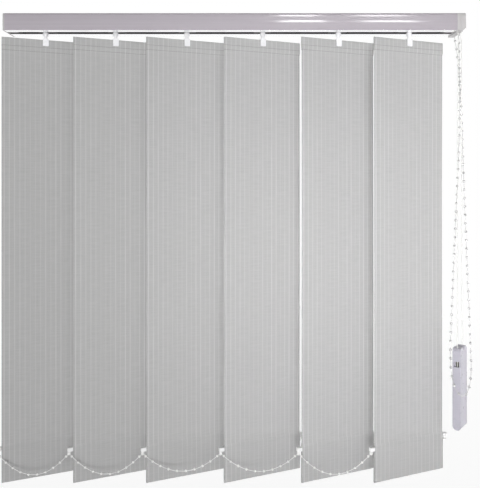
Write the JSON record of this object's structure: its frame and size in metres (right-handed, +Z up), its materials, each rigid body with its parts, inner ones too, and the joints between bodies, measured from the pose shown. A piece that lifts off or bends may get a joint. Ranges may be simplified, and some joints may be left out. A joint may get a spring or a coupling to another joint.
{
  "type": "vertical blind",
  "caption": "Vertical blind: pinstriped fabric vanes on worm-geared carriers in a slotted head rail, with bead chain tilt, weighted traverse cord and linked bottom weights.",
  "frame": {"origin": "middle of the head rail's top, midway between the screw holes of the two ceiling clips", "axes": "+X along the rail towards the control end, -Y towards the room, +Z up"},
  "size_m": [0.7233, 0.0645, 0.7106],
  "materials": {
    "rail_aluminium": "satin lacquered",
    "clip_steel": "zinc plated",
    "cap_plastic": "moulded",
    "pin_steel": "plain",
    "pulley_plastic": "moulded",
    "weight_plastic": "moulded",
    "cord_white": "braided",
    "chain_clear": "moulded",
    "chain_white": "moulded",
    "rod_aluminium": "drawn",
    "carrier_plastic": "moulded",
    "hook_plastic": "moulded",
    "vane_fabric": "woven",
    "hanger_plastic": "moulded",
    "weight_plate": "moulded",
    "link_steel": "spring strip"
  },
  "bodies": {
    "rail": {"head_rail": "rail_aluminium", "ceiling_clips": "clip_steel", "return_end_cap": "cap_plastic", "control_housing": "cap_plastic", "pulley_pins": "pin_steel", "cord_weight_front": "weight_plastic", "cord_weight_back": "weight_plastic", "pull_cord": "cord_white", "rail_cord": "cord_white", "control_chain": "chain_clear"},
    "tilt_drive": {"tilt_rod": "rod_aluminium", "chain_wheel": "pulley_plastic"},
    "guide_pulley_front": {"guide_pulley_front": "pulley_plastic"},
    "guide_pulley_rear": {"guide_pulley_rear": "pulley_plastic"},
    "return_pulley": {"return_pulley": "pulley_plastic"},
    "weight_pulley": {"weight_pulley": "pulley_plastic"},
    "carrier_1": {"carrier_1": "carrier_plastic", "spacer_link_1": "link_steel"},
    "worm_1": {"worm_1": "carrier_plastic"},
    "vane_1": {"stem_hook_1": "hook_plastic", "vane_hanger_1": "hanger_plastic", "vane_1": "vane_fabric", "bottom_weight_1": "weight_plate"},
    "carrier_2": {"carrier_2": "carrier_plastic", "spacer_link_2": "link_steel"},
    "worm_2": {"worm_2": "carrier_plastic"},
    "vane_2": {"stem_hook_2": "hook_plastic", "vane_hanger_2": "hanger_plastic", "vane_2": "vane_fabric", "bottom_weight_2": "weight_plate"},
    "carrier_3": {"carrier_3": "carrier_plastic", "spacer_link_3": "link_steel"},
    "worm_3": {"worm_3": "carrier_plastic"},
    "vane_3": {"stem_hook_3": "hook_plastic", "vane_hanger_3": "hanger_plastic", "vane_3": "vane_fabric", "bottom_weight_3": "weight_plate"},
    "carrier_4": {"carrier_4": "carrier_plastic", "spacer_link_4": "link_steel"},
    "worm_4": {"worm_4": "carrier_plastic"},
    "vane_4": {"stem_hook_4": "hook_plastic", "vane_hanger_4": "hanger_plastic", "vane_4": "vane_fabric", "bottom_weight_4": "weight_plate"},
    "carrier_5": {"carrier_5": "carrier_plastic", "spacer_link_5": "link_steel"},
    "worm_5": {"worm_5": "carrier_plastic"},
    "vane_5": {"stem_hook_5": "hook_plastic", "vane_hanger_5": "hanger_plastic", "vane_5": "vane_fabric", "bottom_weight_5": "weight_plate"},
    "carrier_6": {"carrier_6": "carrier_plastic"},
    "worm_6": {"worm_6": "carrier_plastic"},
    "vane_6": {"stem_hook_6": "hook_plastic", "vane_hanger_6": "hanger_plastic", "vane_6": "vane_fabric", "bottom_weight_6": "weight_plate"},
    "front_chain": {"front_bottom_chain": "chain_white"},
    "rear_chain": {"rear_bottom_chain": "chain_white"}
  },
  "joints": [
    {"name": "traverse_6", "type": "slide", "parent": "rail", "child": "carrier_6", "axis": [-1, 0, 0], "range_m": [0, 0.39592], "deforming": ["front_bottom_chain", "rear_bottom_chain"]},
    {"name": "traverse_5", "type": "slide", "parent": "rail", "child": "carrier_5", "axis": [-1, 0, 0], "range_m": [0, 0.32374]},
    {"name": "traverse_4", "type": "slide", "parent": "rail", "child": "carrier_4", "axis": [-1, 0, 0], "range_m": [0, 0.24659]},
    {"name": "traverse_3", "type": "slide", "parent": "rail", "child": "carrier_3", "axis": [-1, 0, 0], "range_m": [0, 0.16914]},
    {"name": "traverse_2", "type": "slide", "parent": "rail", "child": "carrier_2", "axis": [-1, 0, 0], "range_m": [0, 0.09637]},
    {"name": "traverse_1", "type": "slide", "parent": "rail", "child": "carrier_1", "axis": [-1, 0, 0], "range_m": [0, 0.025]},
    {"name": "tilt_1", "type": "hinge", "parent": "carrier_1", "child": "vane_1", "pos_m": [-0.29195, -0.003, -0.0373], "axis": [0, 0, 1], "range_deg": [-11.4, 120.6], "deforming": ["control_chain"]},
    {"name": "worm_turn_1", "type": "hinge", "parent": "carrier_1", "child": "worm_1", "pos_m": [-0.29195, 0.00737, -0.0135], "axis": [1, 0, 0], "range_deg": [-57, 603]},
    {"name": "tilt_2", "type": "hinge", "parent": "carrier_2", "child": "vane_2", "pos_m": [-0.18382, -0.003, -0.0373], "axis": [0, 0, 1], "range_deg": [-11.4, 120.6]},
    {"name": "worm_turn_2", "type": "hinge", "parent": "carrier_2", "child": "worm_2", "pos_m": [-0.18382, 0.00737, -0.0135], "axis": [1, 0, 0], "range_deg": [-57, 603]},
    {"name": "tilt_3", "type": "hinge", "parent": "carrier_3", "child": "vane_3", "pos_m": [-0.07356, -0.003, -0.0373], "axis": [0, 0, 1], "range_deg": [-11.4, 120.6]},
    {"name": "worm_turn_3", "type": "hinge", "parent": "carrier_3", "child": "worm_3", "pos_m": [-0.07356, 0.00737, -0.0135], "axis": [1, 0, 0], "range_deg": [-57, 603]},
    {"name": "tilt_4", "type": "hinge", "parent": "carrier_4", "child": "vane_4", "pos_m": [0.04379, -0.003, -0.0373], "axis": [0, 0, 1], "range_deg": [-11.4, 120.6]},
    {"name": "worm_turn_4", "type": "hinge", "parent": "carrier_4", "child": "worm_4", "pos_m": [0.04379, 0.00737, -0.0135], "axis": [1, 0, 0], "range_deg": [-57, 603]},
    {"name": "tilt_5", "type": "hinge", "parent": "carrier_5", "child": "vane_5", "pos_m": [0.16068, -0.003, -0.0373], "axis": [0, 0, 1], "range_deg": [-11.4, 120.6]},
    {"name": "worm_turn_5", "type": "hinge", "parent": "carrier_5", "child": "worm_5", "pos_m": [0.16068, 0.00737, -0.0135], "axis": [1, 0, 0], "range_deg": [-57, 603]},
    {"name": "tilt_6", "type": "hinge", "parent": "carrier_6", "child": "vane_6", "pos_m": [0.27005, -0.003, -0.0373], "axis": [0, 0, 1], "range_deg": [-11.4, 120.6]},
    {"name": "worm_turn_6", "type": "hinge", "parent": "carrier_6", "child": "worm_6", "pos_m": [0.27005, 0.00737, -0.0135], "axis": [1, 0, 0], "range_deg": [-57, 603]},
    {"name": "rod_turn", "type": "hinge", "parent": "rail", "child": "tilt_drive", "pos_m": [0, 0.00737, -0.0135], "axis": [1, 0, 0], "range_deg": [-57, 603]},
    {"name": "front_chain_turn", "type": "hinge", "parent": "vane_1", "child": "front_chain", "pos_m": [-0.35639, -0.0304, -0.6637], "axis": [0, 0, 1], "range_deg": [-120.6, 11.4]},
    {"name": "rear_chain_turn", "type": "hinge", "parent": "vane_1", "child": "rear_chain", "pos_m": [-0.22751, 0.0244, -0.6637], "axis": [0, 0, 1], "range_deg": [-120.6, 11.4]},
    {"name": "guide_pulley_rear_turn", "type": "hinge", "parent": "rail", "child": "guide_pulley_rear", "pos_m": [0.3431, -0.0138, -0.014], "axis": [0, 1, 0], "range_deg": [-5671.15, 0]},
    {"name": "guide_pulley_front_turn", "type": "hinge", "parent": "rail", "child": "guide_pulley_front", "pos_m": [0.3368, -0.0176, -0.014], "axis": [0, 1, 0], "range_deg": [0, 5671.15]},
    {"name": "return_pulley_turn", "type": "hinge", "parent": "rail", "child": "return_pulley", "pos_m": [-0.34405, -0.0157, -0.01], "axis": [0, 0, 1], "range_deg": [0, 11939.24]},
    {"name": "weight_pulley_turn", "type": "hinge", "parent": "rail", "child": "weight_pulley", "pos_m": [0.3441, -0.0157, -0.532], "axis": [0.7771, -0.6293, 0], "range_deg": [0, 2160.44]}
  ],
  "couplings": [
    {"joint": "traverse_5", "follows": "traverse_6", "ratio": 0.81769},
    {"joint": "traverse_4", "follows": "traverse_6", "ratio": 0.62282},
    {"joint": "traverse_3", "follows": "traverse_6", "ratio": 0.42721},
    {"joint": "traverse_2", "follows": "traverse_6", "ratio": 0.2434},
    {"joint": "traverse_1", "follows": "traverse_6", "ratio": 0.063144},
    {"joint": "worm_turn_1", "follows": "tilt_1", "ratio": 5},
    {"joint": "tilt_2", "follows": "tilt_1", "ratio": 1},
    {"joint": "worm_turn_2", "follows": "tilt_1", "ratio": 5},
    {"joint": "tilt_3", "follows": "tilt_1", "ratio": 1},
    {"joint": "worm_turn_3", "follows": "tilt_1", "ratio": 5},
    {"joint": "tilt_4", "follows": "tilt_1", "ratio": 1},
    {"joint": "worm_turn_4", "follows": "tilt_1", "ratio": 5},
    {"joint": "tilt_5", "follows": "tilt_1", "ratio": 1},
    {"joint": "worm_turn_5", "follows": "tilt_1", "ratio": 5},
    {"joint": "tilt_6", "follows": "tilt_1", "ratio": 1},
    {"joint": "worm_turn_6", "follows": "tilt_1", "ratio": 5},
    {"joint": "rod_turn", "follows": "tilt_1", "ratio": 5},
    {"joint": "front_chain_turn", "follows": "tilt_1", "ratio": -1},
    {"joint": "rear_chain_turn", "follows": "tilt_1", "ratio": -1},
    {"joint": "guide_pulley_rear_turn", "follows": "traverse_6", "rad_per_m": -250},
    {"joint": "guide_pulley_front_turn", "follows": "traverse_6", "rad_per_m": 250},
    {"joint": "return_pulley_turn", "follows": "traverse_6", "rad_per_m": 526.32},
    {"joint": "weight_pulley_turn", "follows": "traverse_6", "rad_per_m": 95.238}
  ]
}
